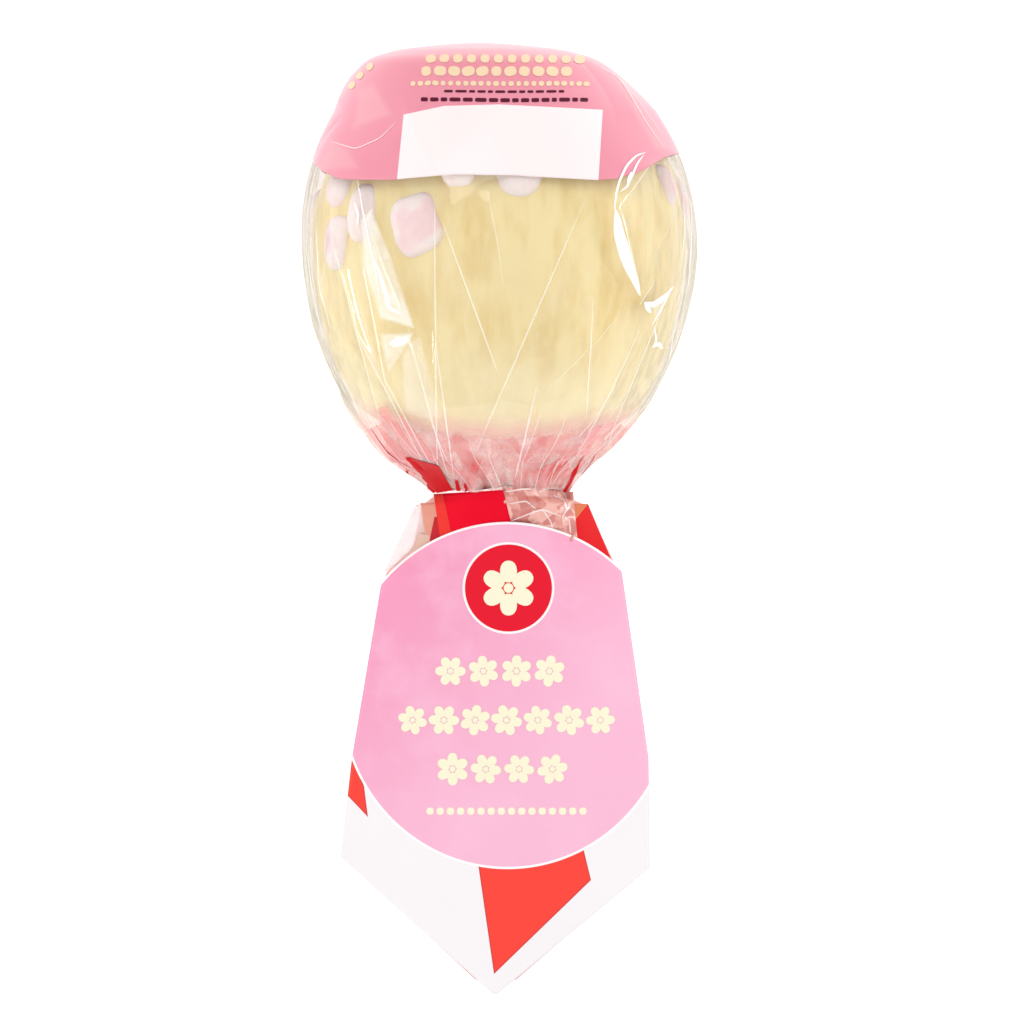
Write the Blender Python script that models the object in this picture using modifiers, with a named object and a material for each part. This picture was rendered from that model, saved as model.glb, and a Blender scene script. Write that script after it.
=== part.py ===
"""A white chocolate covered apple in a clear film wrap, gathered below it into a folded, printed tail.

Metres, +Z up. The pieces are modelled in the wrap's own upright frame: its middle line runs along Y, the
apple's top is at +Y, the tail hangs towards -Y and the printed front faces +Z. The empty lie_down then tips
that frame back until the wrap rests on the surface at two places: a small flat spot under the apple and the
point of the tail. The row's origin is on the surface, in the middle of the flat spot.
"""

import math

import bmesh
import bpy
from mathutils import Vector

MM = 0.001

# The wrap's silhouette from its top to the gathered neck: (radius, height above the apple's middle), in mm.
WRAP_PROFILE = [
    (0.0, 41.3),
    (11.5, 41.0),
    (19.0, 39.8),
    (24.8, 37.2),
    (31.2, 30.0),
    (36.6, 20.0),
    (39.4, 10.0),
    (40.1, 0.0),
    (38.8, -10.0),
    (35.9, -20.0),
    (31.0, -30.0),
    (24.0, -39.0),
    (16.5, -45.2),
    (13.3, -48.2),
]
# How far the wrap's middle line leans to the side, as (height, sideways shift), in mm.
WRAP_LEAN = [(-49.0, 0.3), (-42.0, -1.7), (-28.0, -0.5), (0.0, 0.0), (28.0, -1.0), (41.3, -4.0)]
NECK_END = -49.0
NECK_DEPTH_SHARE = 0.80  # the gathered neck is this much thinner from front to back than it is wide

# The film gathers into pleats from this height down to the neck.
PLEATS = 17
PLEAT_START = -20.0
PLEAT_HEIGHT = 1.5
PANEL_COUNT = 7  # broad, faint flats that the taut film makes round the apple
PANEL_HEIGHT = 0.35

# The printed cap over the apple's top: its lower rim in front and at the sides, and its thickness, in mm.
CAP_RIM_FRONT = 14.6
CAP_RIM_SIDE = 18.4
CAP_THICKNESS = 0.45
CAP_GAP = 0.32

# The tail's edges as (height, sideways), in mm: shoulders, folded sides, hem corners and the point.
TAIL_LEFT = [
    (-49.4, -13.2),
    (-50.7, -16.0),
    (-59.5, -17.8),
    (-64.6, -23.2),
    (-101.5, -29.4),
    (-121.4, -31.7),
    (-149.4, -1.5),
]
TAIL_RIGHT = [(-49.4, 13.2), (-50.7, 17.9), (-64.6, 24.6), (-101.5, 29.9), (-123.6, 30.2), (-149.4, -0.1)]
# Half of the tail's thickness along its middle as (height, half thickness), in mm.
TAIL_HALF_DEPTH = [
    (-49.4, 10.4),
    (-55.0, 8.6),
    (-64.6, 6.4),
    (-84.0, 5.0),
    (-110.0, 4.2),
    (-124.0, 2.8),
    (-138.0, 1.4),
    (-149.4, 0.9),
]
TAIL_EDGE_HALF = 0.7
TAIL_CROWN_POWER = 2.2
TAIL_RINGS = 42
# The tail's front and back are gathered below the neck, as the wrap is above it.
TAIL_PLEATS = 4
TAIL_PLEAT_HEIGHT = 1.1
TAIL_PLEAT_END = -82.0

# The surface that the wrap lies on is this far below the apple's middle, and the tail's point meets it too.
REST_HEIGHT = 39.35
TIP_HEIGHT = 0.45  # the tail's middle plane ends this high above the surface
SPOT_BACKSET = 4.7  # the flat spot's middle lies this far towards the tail from below the apple's middle
FLOOR_CUTTER_SIZE = 600.0

COLLECTION = "chocolate_covered_apple"
CUTTERS = "cutters"


def smooth(low, high, value):
    """0 below low, 1 above high, with a soft step between; low may be the larger number."""
    share = min(1.0, max(0.0, (value - low) / (high - low)))
    return share * share * (3.0 - 2.0 * share)


def along(points, value):
    """The second number of (first, second) pairs at value, on straight lines between them."""
    rows = sorted(points)
    if value <= rows[0][0]:
        return rows[0][1]
    for (a, left), (b, right) in zip(rows, rows[1:]):
        if value <= b:
            return left + (right - left) * (value - a) / (b - a)
    return rows[-1][1]


def spline(points, share):
    """A point on a smooth curve through points, with share from 0 to 1 by the points' numbers."""
    place = share * (len(points) - 1)
    at = min(int(place), len(points) - 2)
    t = place - at
    p1, p2 = Vector(points[at]), Vector(points[at + 1])
    p0 = Vector(points[at - 1]) if at else Vector((-points[1][0], points[1][1]))
    p3 = Vector(points[at + 2]) if at + 2 < len(points) else p2 + (p2 - p1)
    bend = (2 * p0 - 5 * p1 + 4 * p2 - p3) * t**2
    twist = (3 * p1 - p0 - 3 * p2 + p3) * t**3
    return 0.5 * (2 * p1 + (p2 - p0) * t + bend + twist)


def pleat(angle, height):
    """How far the film stands out here, in mm: gathers near the neck and broad flats round the apple."""
    wander = 0.35 * math.sin(3 * angle + 0.7) + 0.25 * math.sin(5 * angle + 2.1)
    gather = abs(math.sin(0.5 * PLEATS * angle + wander)) - 0.5
    flats = math.sin(PANEL_COUNT * angle + 0.9) * smooth(38.0, 20.0, height)
    return PLEAT_HEIGHT * gather * smooth(PLEAT_START, NECK_END, height) + PANEL_HEIGHT * flats


def wrap_point(angle, share, lift=0.0):
    """A point of the wrap's outside, from its top at share 0 to its neck at 1, moved out by lift mm."""
    radius, height = spline(WRAP_PROFILE, share)
    ahead = spline(WRAP_PROFILE, min(1.0, share + 0.01))
    behind = spline(WRAP_PROFILE, max(0.0, share - 0.01))
    slope = (ahead - behind).normalized()
    out = lift + pleat(angle, height) * smooth(0.0, 14.0, radius)
    radius += out * max(0.0, -slope.y)
    height += out * slope.x
    depth = 1.0 - (1.0 - NECK_DEPTH_SHARE) * smooth(-30.0, NECK_END, height)
    x = radius * math.cos(angle) + along(WRAP_LEAN, height)
    return Vector((x, height, radius * math.sin(angle) * depth)) * MM


def share_at(height):
    """The share down the profile where the wrap has this height, in mm."""
    low, high = 0.0, 1.0
    for _ in range(40):
        middle = 0.5 * (low + high)
        if spline(WRAP_PROFILE, middle).y > height:
            low = middle
        else:
            high = middle
    return 0.5 * (low + high)


def material(name, colour, roughness, metallic=0.0):
    made = bpy.data.materials.new(name)
    made.use_nodes = True
    shader = made.node_tree.nodes["Principled BSDF"]
    shader.inputs["Base Color"].default_value = (*colour, 1.0)
    shader.inputs["Roughness"].default_value = roughness
    shader.inputs["Metallic"].default_value = metallic
    made.diffuse_color = (*colour, 1.0)
    return made


def add_object(name, bm, finish, collection, parent=None):
    """Turns bm into a smooth-shaded object with sharp creases kept."""
    bmesh.ops.recalc_face_normals(bm, faces=bm.faces)
    mesh = bpy.data.meshes.new(name)
    bm.to_mesh(mesh)
    bm.free()
    mesh.shade_smooth()
    mesh.set_sharp_from_angle(angle=math.radians(35))
    made = bpy.data.objects.new(name, mesh)
    made.data.materials.append(finish)
    made.parent = parent
    collection.objects.link(made)
    return made


def shaped_sphere(segments, rings, place):
    """A UV sphere whose vertices move to place(angle, share), with share 0 at the top and 1 below."""
    bm = bmesh.new()
    bmesh.ops.create_uvsphere(bm, u_segments=segments, v_segments=rings, radius=1.0)
    for vertex in bm.verts:
        x, y, z = vertex.co
        vertex.co = place(math.atan2(y, x), math.acos(max(-1.0, min(1.0, z))) / math.pi)
    return bm


def wrapped_apple(finish, collection, parent):
    """The clear wrap out to its film, with the apple inside, closed at the gathered neck by a flat end."""
    body_rings = 0.94  # the last rings lie on the neck's flat end

    def place(angle, share):
        if share <= body_rings:
            return wrap_point(angle, share / body_rings)
        rim = wrap_point(angle, 1.0)
        middle = Vector((along(WRAP_LEAN, NECK_END) * MM, NECK_END * MM, 0.0))
        end = Vector((rim.x, NECK_END * MM, rim.z))
        return end.lerp(middle, min(1.0, (share - body_rings) / (1.0 - body_rings)))

    return add_object("wrapped_apple", shaped_sphere(86, 44, place), finish, collection, parent)


def printed_cap(finish, collection, parent):
    """The printed sheet over the apple's top. Its rim sits lower in front and behind than at the sides."""

    def rim(angle):
        return share_at(CAP_RIM_FRONT + (CAP_RIM_SIDE - CAP_RIM_FRONT) * math.cos(angle) ** 4)

    bm = shaped_sphere(56, 32, lambda angle, share: Vector((angle, 2.0 * share, 0.0)))
    past_rim = [v for v in bm.verts if v.co.y > 1.0 + 1e-6]
    bmesh.ops.delete(bm, geom=past_rim, context="VERTS")
    for vertex in bm.verts:
        angle, share, _ = vertex.co
        vertex.co = wrap_point(angle, share * rim(angle), CAP_GAP)
    cap = add_object("printed_cap", bm, finish, collection, parent)
    top = max(cap.data.polygons, key=lambda p: p.center.y)
    solid = cap.modifiers.new("thickness", "SOLIDIFY")
    solid.thickness = CAP_THICKNESS * MM
    solid.offset = math.copysign(1.0, top.normal.y)
    solid.use_even_offset = True
    return cap


def tail_stations():
    """The heights of the tail's rings, in mm: every corner of its edges, and even steps between them."""
    corners = sorted({h for h, _ in TAIL_LEFT + TAIL_RIGHT}, reverse=True)
    steps = TAIL_RINGS - 1 - len(corners)
    length = corners[0] - corners[-1]
    heights = list(corners)
    for high, low in zip(corners, corners[1:]):
        count = round(steps * (high - low) / length)
        heights += [high + (low - high) * (n + 1) / (count + 1) for n in range(count)]
    return sorted(heights, reverse=True)


def tail(finish, collection, parent):
    """The printed tail: the wrap's lower part folded flat, widest at the hem corners and pointed below."""
    stations = tail_stations()
    rings = len(stations) + 1

    def place(angle, share):
        ring = round(share * rings)
        height = stations[min(len(stations) - 1, max(0, ring - 1))]
        left, right = along(TAIL_LEFT, height), along(TAIL_RIGHT, height)
        middle, half = 0.5 * (left + right), 0.5 * (right - left)
        across = 0.0 if ring in (0, rings) else math.cos(angle)
        crown = along(TAIL_HALF_DEPTH, height) - TAIL_EDGE_HALF
        depth = TAIL_EDGE_HALF + crown * (1.0 - abs(across) ** TAIL_CROWN_POWER)
        gather = abs(math.cos(0.5 * math.pi * TAIL_PLEATS * across)) - 0.5
        fade = (1.0 - across**2) * smooth(TAIL_PLEAT_END, stations[0], height)
        depth += TAIL_PLEAT_HEIGHT * gather * fade
        on_edge = ring in (0, rings) or abs(math.sin(angle)) < 1e-6
        side = 0.0 if on_edge else math.copysign(1.0, math.sin(angle))
        return Vector((middle + half * across, height, depth * side)) * MM

    return add_object("printed_tail", shaped_sphere(36, rings, place), finish, collection, parent)


def tip_angle():
    """How far the upright frame tips back for the tail's point to meet the surface, in radians."""
    length = -TAIL_LEFT[-1][0]
    return math.asin((REST_HEIGHT - TIP_HEIGHT) / length)


def cut_at_floor(targets, cutters):
    """Cuts what would lie below the surface, which leaves the flat spot and the tail's foot."""
    bm = bmesh.new()
    bmesh.ops.create_cube(bm, size=FLOOR_CUTTER_SIZE * MM)
    mesh = bpy.data.meshes.new("floor_cutter")
    bm.to_mesh(mesh)
    bm.free()
    cutter = bpy.data.objects.new("floor_cutter", mesh)
    cutter.location.z = -FLOOR_CUTTER_SIZE / 2 * MM
    cutter.display_type = "WIRE"
    cutter.hide_render = True
    cutters.objects.link(cutter)
    for target in targets:
        cut = target.modifiers.new("flat_spot", "BOOLEAN")
        cut.operation = "DIFFERENCE"
        cut.object = cutter


def main():
    for old in list(bpy.data.objects):
        bpy.data.objects.remove(old)
    scene = bpy.context.scene
    parts = bpy.data.collections.new(COLLECTION)
    cutters = bpy.data.collections.new(CUTTERS)
    scene.collection.children.link(parts)
    scene.collection.children.link(cutters)

    lie_down = bpy.data.objects.new("lie_down", None)
    lie_down.rotation_euler.x = tip_angle()
    lie_down.location = (0.0, SPOT_BACKSET * MM, REST_HEIGHT * MM)
    parts.objects.link(lie_down)

    film = material("clear_film_over_white_chocolate", (0.90, 0.76, 0.42), 0.15)
    pink = material("pink_print", (0.98, 0.38, 0.48), 0.3)
    tail_print = material("white_tail_print", (0.92, 0.88, 0.89), 0.35)

    apple = wrapped_apple(film, parts, lie_down)
    printed_cap(pink, parts, lie_down)
    folded = tail(tail_print, parts, lie_down)
    cut_at_floor([apple, folded], cutters)


main()
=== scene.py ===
"""Looks of a white chocolate covered apple with marshmallows, in clear film with a printed cap and tail.

Every piece is modelled in the wrap's own upright frame, in mm: x to the right, y from the tail's point to the
apple's top, z out of the printed front. lay_down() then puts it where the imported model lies, in metres.
"""

import math
import random

import bpy
import numpy as np
from mathutils import Matrix, Vector


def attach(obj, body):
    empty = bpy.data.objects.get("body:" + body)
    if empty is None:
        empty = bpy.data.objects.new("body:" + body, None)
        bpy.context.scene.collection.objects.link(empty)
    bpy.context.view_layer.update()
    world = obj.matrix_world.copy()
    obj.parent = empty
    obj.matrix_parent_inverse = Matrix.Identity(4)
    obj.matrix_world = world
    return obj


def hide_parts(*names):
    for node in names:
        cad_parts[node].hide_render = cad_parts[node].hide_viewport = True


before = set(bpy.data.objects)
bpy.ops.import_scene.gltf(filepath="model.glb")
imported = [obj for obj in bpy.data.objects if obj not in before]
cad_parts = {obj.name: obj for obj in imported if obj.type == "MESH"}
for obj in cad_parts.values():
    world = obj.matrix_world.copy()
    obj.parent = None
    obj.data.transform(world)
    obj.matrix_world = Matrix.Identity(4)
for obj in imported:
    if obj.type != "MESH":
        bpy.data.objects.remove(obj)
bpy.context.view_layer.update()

MM = 0.001

# The wrap, as the solids have it.
WRAP_PROFILE = [
    (0.0, 41.3), (11.5, 41.0), (19.0, 39.8), (24.8, 37.2), (31.2, 30.0), (36.6, 20.0), (39.4, 10.0),
    (40.1, 0.0), (38.8, -10.0), (35.9, -20.0), (31.0, -30.0), (24.0, -39.0), (16.5, -45.2), (13.3, -48.2),
]
WRAP_LEAN = [(-49.0, 0.3), (-42.0, -1.7), (-28.0, -0.5), (0.0, 0.0), (28.0, -1.0), (41.3, -4.0)]
NECK_END = -49.0
NECK_DEPTH_SHARE = 0.80
PANEL_COUNT = 7
PANEL_HEIGHT = 0.35
# The cap's rim, as (x over the ball's radius, height), alike on the front and the back.
CAP_RIM = [
    (-1.0, 18.4), (-0.92, 15.8), (-0.82, 14.1), (-0.54, 13.9), (-0.2, 14.8), (0.1, 14.8), (0.52, 13.7),
    (0.62, 14.0), (0.74, 15.3), (0.92, 18.6), (1.0, 19.4),
]
TAIL_LEFT = [
    (-49.4, -13.2), (-50.7, -16.0), (-59.5, -17.8), (-64.6, -23.2), (-101.5, -29.4), (-121.4, -31.7),
    (-149.4, -1.5),
]
TAIL_RIGHT = [(-49.4, 13.2), (-50.7, 17.9), (-64.6, 24.6), (-101.5, 29.9), (-123.6, 30.2), (-149.4, -0.1)]
TAIL_HALF_DEPTH = [
    (-49.4, 10.4), (-55.0, 8.6), (-64.6, 6.4), (-84.0, 5.0), (-110.0, 4.2), (-124.0, 2.8), (-138.0, 1.4),
    (-149.4, 0.9),
]
TAIL_EDGE_HALF = 0.7
TAIL_CROWN_POWER = 2.2

# How the wrap lies, as the solids do.
REST_HEIGHT = 39.35
TIP_HEIGHT = 0.45
SPOT_BACKSET = 4.7
FLOOR_GAP = 0.0001  # in metres
TILT = math.asin((REST_HEIGHT - TIP_HEIGHT) / 149.4)
LIE = Matrix.Translation(Vector((0.0, SPOT_BACKSET, REST_HEIGHT)) * MM) @ Matrix.Rotation(TILT, 4, "X")

# The photograph's framing: the ball's middle is at this pixel, at this scale, seen from this far.
BALL_PIXEL = (499.0, 250.0)
MM_PER_PIXEL = 0.2
IMAGE_PIXELS = 1024
CAMERA_DISTANCE = 8000.0
SENSOR = 36.0
FLOOR_REACH = 40.0  # in metres

# The printed disc on the tail: its middle and its two half axes.
DISC_MIDDLE = (1.7, -89.1)
DISC_HALF = (33.5, 34.7)
DISC_RIM = 0.45

SEED = 11


# Small maths


def smooth(low, high, value):
    """0 below low, 1 above high, with a soft step between; low may be the larger number."""
    share = np.clip((np.asarray(value, float) - low) / (high - low), 0.0, 1.0)
    return share * share * (3.0 - 2.0 * share)


def along(points, value):
    """The second number of (first, second) pairs at value, on straight lines between them."""
    rows = sorted(points)
    return np.interp(value, [row[0] for row in rows], [row[1] for row in rows])


def spline(points, share):
    """Points on a smooth curve through (radius, height) points, at shares from 0 to 1 of their numbers."""
    given = np.array(points, float)
    before = np.array([[-given[1, 0], given[1, 1]]])
    after = 2.0 * given[-1:] - given[-2:-1]
    knots = np.vstack([before, given, after])
    place = np.clip(np.asarray(share, float), 0.0, 1.0) * (len(given) - 1)
    at = np.minimum(place.astype(int), len(given) - 2)
    t = (place - at)[..., None]
    p0, p1, p2, p3 = (knots[at + n] for n in range(4))
    bend = (2 * p0 - 5 * p1 + 4 * p2 - p3) * t**2
    twist = (3 * p1 - p0 - 3 * p2 + p3) * t**3
    return 0.5 * (2 * p1 + (p2 - p0) * t + bend + twist)


def shares(rows, columns):
    """Two grids of numbers from 0 to 1: down the rows, and along them."""
    return np.meshgrid(np.linspace(0.0, 1.0, rows), np.linspace(0.0, 1.0, columns), indexing="ij")


def four_cornered(corners, rows, columns):
    """Grids of x and of y over a four-cornered patch, whose corners run clockwise from the upper left."""
    v, u = shares(rows, columns)
    grids = []
    for upper_left, upper_right, lower_right, lower_left in zip(*corners):
        top = upper_left + (upper_right - upper_left) * u
        bottom = lower_left + (lower_right - lower_left) * u
        grids.append(top + (bottom - top) * v)
    return grids


def all_round(columns):
    """A row of angles once round, without the last that would meet the first."""
    return np.linspace(0.0, 2 * math.pi, columns, endpoint=False)[None, :]


def turn(angle):
    """angle brought to between -pi and pi."""
    return (np.asarray(angle) + math.pi) % (2 * math.pi) - math.pi


def ripple(points, scale, seed):
    """A smooth random value between about -1 and 1 at each point, with waves about scale long."""
    draw = np.random.default_rng(seed)
    total = np.zeros(points.shape[:-1])
    waves = 14
    for _ in range(waves):
        way = draw.normal(size=3)
        way *= 2 * math.pi / (scale * np.linalg.norm(way)) * draw.uniform(0.6, 1.5)
        total += np.sin(points @ way + draw.uniform(0, 2 * math.pi))
    return total / math.sqrt(waves)


# The wrap's surface

PROFILE_SHARES = np.linspace(0.0, 1.0, 1200)
PROFILE = spline(WRAP_PROFILE, PROFILE_SHARES)
PROFILE_STEPS = np.linalg.norm(np.diff(PROFILE, axis=0), axis=1)
PROFILE_RUN = np.concatenate([[0.0], np.cumsum(PROFILE_STEPS)])
RUN_LENGTH = PROFILE_RUN[-1]


def run_at(height):
    """How far down the wrap's surface from its top this height is."""
    return np.interp(-np.asarray(height, float), -PROFILE[:, 1], PROFILE_RUN)


def profile_at(run):
    """(radius, height, outward radius part, outward height part) of the wrap this far from its top."""
    run = np.clip(run, 0.0, RUN_LENGTH)
    here, ahead, behind = (
        [np.interp(np.clip(run + step, 0.0, RUN_LENGTH), PROFILE_RUN, line) for line in PROFILE.T]
        for step in (0.0, 1.0, -1.0)
    )
    out, down = ahead[0] - behind[0], ahead[1] - behind[1]
    size = np.hypot(down, out)
    return *here, -down / size, out / size


def angle_at(x, height, front=True):
    """The angle round the wrap of the place that shows at x, on its front or its back."""
    radius = profile_at(run_at(height))[0]
    angle = np.arccos(np.clip((x - along(WRAP_LEAN, height)) / radius, -1.0, 1.0))
    return angle if front else -angle


class Crease:
    """A straight fold in the film between two places, each (angle, run), with its height and half width."""

    def __init__(self, start, end, height, width, to_neck=False):
        self.start, self.end = start, end
        self.height, self.width = height, width
        self.to_neck = to_neck

    def line(self, run):
        """(angle of the fold, share of the way along it) this far down the wrap."""
        share = (run - self.start[1]) / (self.end[1] - self.start[1])
        return self.start[0] + turn(self.end[0] - self.start[0]) * share, share

    def lift(self, angle, run, radius):
        """How far the fold stands out at this place, in mm."""
        middle, share = self.line(run)
        slant = turn(self.line(run + 0.5)[0] - self.line(run - 0.5)[0]) * radius
        away = np.abs(turn(angle - middle)) * radius / np.sqrt(1.0 + slant**2)
        fade = smooth(0.0, 0.25, share)
        if not self.to_neck:
            fade = fade * smooth(1.0, 0.8, share)
        return self.height * fade * np.exp(-away / self.width)


class SeenCrease(Crease):
    """A fold that looks straight from the front, between two places given in mm as they show there."""

    def __init__(self, top, bottom, height, width, to_neck=False):
        start, end = ((0.0, float(run_at(place[1]))) for place in (top, bottom))
        super().__init__(start, end, height, width, to_neck)
        self.top, self.bottom = top, bottom

    def line(self, run):
        share = (run - self.start[1]) / (self.end[1] - self.start[1])
        height = profile_at(run)[1]
        down = np.clip((height - self.top[1]) / (self.bottom[1] - self.top[1]), -0.1, 1.1)
        x = self.top[0] + (self.bottom[0] - self.top[0]) * down
        return angle_at(x, height), share


# The folds that stand out in the photograph, as top and bottom places seen from the front, in mm.
SEEN_CREASES = [
    ((-12.8, 14.0), (-12.2, -47.0), 0.50, 2.2, True),
    ((-11.8, 7.0), (0.2, -26.0), 0.30, 2.6, False),
    ((18.2, 12.0), (-4.8, -41.0), 0.50, 2.4, True),
    ((-26.8, 6.0), (-18.4, -14.0), 0.60, 2.6, False),
    ((-19.2, -12.0), (-9.6, -47.0), 0.50, 2.0, True),
    ((-28.4, 2.4), (-22.0, -30.4), 0.55, 2.4, False),
    ((-12.8, -16.0), (-8.8, -46.0), 0.40, 1.8, True),
    ((18.8, -8.0), (17.2, -35.0), 0.35, 2.0, False),
    ((31.6, 18.6), (23.6, 8.0), 0.80, 2.0, False),
    ((23.6, 10.0), (28.4, -10.0), 0.70, 1.8, False),
    ((31.5, -6.0), (27.5, -12.0), 0.50, 1.0, False),
    ((29.5, -14.0), (13.0, -46.0), 0.50, 2.2, True),
    ((37.0, -2.0), (20.0, -43.0), 0.50, 2.4, True),
    ((-34.5, 6.0), (-23.0, -37.0), 0.50, 2.0, True),
    ((-31.0, -12.0), (-13.5, -46.0), 0.45, 1.6, True),
    ((-24.0, -24.0), (-11.5, -47.0), 0.45, 1.4, True),
    ((8.0, -26.0), (3.0, -47.0), 0.35, 1.4, True),
]


def all_creases():
    """The folds that the photograph shows, more of their kind all round, and short ones from the neck."""
    draw = random.Random(SEED)
    creases = [SeenCrease(*seen) for seen in SEEN_CREASES]
    long_folds, neck_folds, side_folds = 22, 64, 34
    for n in range(long_folds):
        angle = math.pi + math.pi * (n + draw.uniform(0.1, 0.9)) / long_folds
        top = (angle, draw.uniform(28.0, 52.0))
        bottom = (angle + draw.uniform(-0.35, 0.35), RUN_LENGTH - draw.uniform(0.0, 4.0))
        creases.append(Crease(top, bottom, draw.uniform(0.25, 0.6), draw.uniform(1.6, 2.8), True))
    for n in range(neck_folds):
        angle = 2 * math.pi * (n + draw.random()) / neck_folds
        top = (angle, RUN_LENGTH - draw.uniform(9.0, 34.0))
        bottom = (angle + draw.uniform(-0.2, 0.2), RUN_LENGTH)
        high = draw.uniform(0.35, 0.9) * draw.choice((1.0, 1.0, -0.8))
        creases.append(Crease(top, bottom, high, draw.uniform(0.7, 1.5), True))
    for n in range(side_folds):
        angle = 2 * math.pi * (n + draw.random()) / side_folds
        middle, reach = draw.uniform(30.0, 90.0), draw.uniform(5.0, 14.0)
        bottom = (angle + draw.uniform(-0.45, 0.45), middle + reach)
        high = draw.uniform(0.15, 0.4) * draw.choice((1.0, -1.0))
        creases.append(Crease((angle, middle - reach), bottom, high, draw.uniform(1.0, 2.4)))
    return creases


CREASES = all_creases()
FILM_INSET = 0.5
FILM_MOST = 0.15
FILM_LEAST, NECK_LEAST = -1.3, -2.6
GATHER_TOP = -38.0


def film_lift(angle, run, radius, height):
    """How far the creased film stands out from the solid's smooth outline."""
    lift = np.full(np.shape(angle), -FILM_INSET)
    for crease in CREASES:
        lift = lift + crease.lift(angle, run, radius)
    gather = smooth(GATHER_TOP, NECK_END, height)
    wander = 0.5 * np.sin(3 * angle + 0.7) + 0.3 * np.sin(5 * angle + 2.1)
    for high, pleats, shift in ((1.3, 9, wander), (0.7, 16, -2.0 * wander)):
        lift = lift + high * gather * (np.abs(np.sin(pleats * angle + shift)) - 0.6)
    flats = np.sin(PANEL_COUNT * angle + 0.9) * smooth(38.0, 20.0, height)
    lift = lift + PANEL_HEIGHT * flats
    least = FILM_LEAST + (NECK_LEAST - FILM_LEAST) * smooth(-32.0, -44.0, height)
    return np.clip(lift, least, FILM_MOST + PANEL_HEIGHT * flats) * smooth(0.0, 14.0, radius)


def neck_depth(height):
    """How deep the wrap is for its width, which is less towards the neck."""
    return 1.0 - (1.0 - NECK_DEPTH_SHARE) * smooth(-30.0, NECK_END, height)


def film_points(angle, run, extra=0.0):
    """Points of the creased film, extra mm further out."""
    angle, run = np.broadcast_arrays(np.asarray(angle, float), np.asarray(run, float))
    radius, height, out_radius, out_height = profile_at(run)
    lift = film_lift(angle, run, radius, height) + extra
    radius = radius + lift * np.maximum(0.0, out_radius)
    x = radius * np.cos(angle) + along(WRAP_LEAN, height)
    z = radius * np.sin(angle) * neck_depth(height)
    return np.stack([x, height + lift * out_height, z], axis=-1)


# Mesh builders


def lay_down(points):
    """Points in the wrap's frame, in mm, as points where it lies, in metres, pressed flat on the floor."""
    flat = np.asarray(points, float).reshape(-1, 3) * MM
    laid = flat @ np.array(LIE.to_3x3()).T + np.array(LIE.translation)
    height = laid[:, 2]
    pressed = FLOOR_GAP * np.exp((np.minimum(height, FLOOR_GAP) - FLOOR_GAP) / MM)
    laid[:, 2] = np.where(height < FLOOR_GAP, pressed, height)
    return laid


def put_in_scene(name, data):
    """An object of this mesh, lamp or camera, in the scene."""
    made = bpy.data.objects.new(name, data)
    bpy.context.scene.collection.objects.link(made)
    return made


def add_piece(name, points, faces, finish):
    """An object of these points and faces that rides on the part's one body."""
    mesh = bpy.data.meshes.new(name)
    mesh.from_pydata(lay_down(points).tolist(), [], faces)
    mesh.update()
    mesh.shade_smooth()
    mesh.materials.append(finish)
    made = put_in_scene(name, mesh)
    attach(made, "root")
    return made


def faces_inwards(points):
    """True if a grid's faces, down its rows and then along them, look towards the wrap's middle line."""
    down, across = np.diff(points, axis=0)[:, :-1], np.diff(points, axis=1)[:-1]
    away = points[:-1, :-1] * np.array([1.0, 0.0, 1.0])
    return float((np.cross(down, across) * away).sum()) < 0.0


def grid_faces(points, ring=False, first=0):
    """Faces of a grid of points in rows, joined round where it is a ring, that look outwards."""
    rows, columns, _ = points.shape
    wide = columns if ring else columns - 1
    order = -1 if faces_inwards(points) else 1
    faces = []
    for r in range(rows - 1):
        for c in range(wide):
            d = (c + 1) % columns
            a, b = first + r * columns, first + (r + 1) * columns
            faces.append((a + c, b + c, b + d, a + d)[::order])
    return faces


def add_grid(name, points, finish, ring=False, closed_top=False, closed_bottom=False):
    """A grid or a ring of points as a surface, with fans over its open ends where asked."""
    rows, columns, _ = points.shape
    order = -1 if faces_inwards(points) else 1
    faces = grid_faces(points, ring)
    flat = points.reshape(-1, 3)
    for closed, first, way in ((closed_top, 0, order), (closed_bottom, (rows - 1) * columns, -order)):
        if closed:
            flat = np.vstack([flat, flat[first : first + columns].mean(axis=0)])
            hub = len(flat) - 1
            faces += [(hub, first + c, first + (c + 1) % columns)[::way] for c in range(columns)]
    return add_piece(name, flat, faces, finish)


def add_patches(name, patches, finish):
    """Several grids of points as one piece."""
    flat, faces, first = [], [], 0
    for points in patches:
        rows, columns, _ = points.shape
        flat.append(points.reshape(-1, 3))
        faces += grid_faces(points, first=first)
        first += rows * columns
    return add_piece(name, np.vstack(flat), faces, finish)


def give_thickness(piece, thickness):
    """Makes a sheet a thin solid, thickness mm thick, inwards from where it lies."""
    solid = piece.modifiers.new("thickness", "SOLIDIFY")
    solid.thickness = thickness * MM
    solid.offset = -1.0


# Material builders

EDGE = 0.03  # how soft a printed edge is, in mm
ARC_BEND = -0.0037
WHITE = (1.0, 1.0, 1.0)


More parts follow.
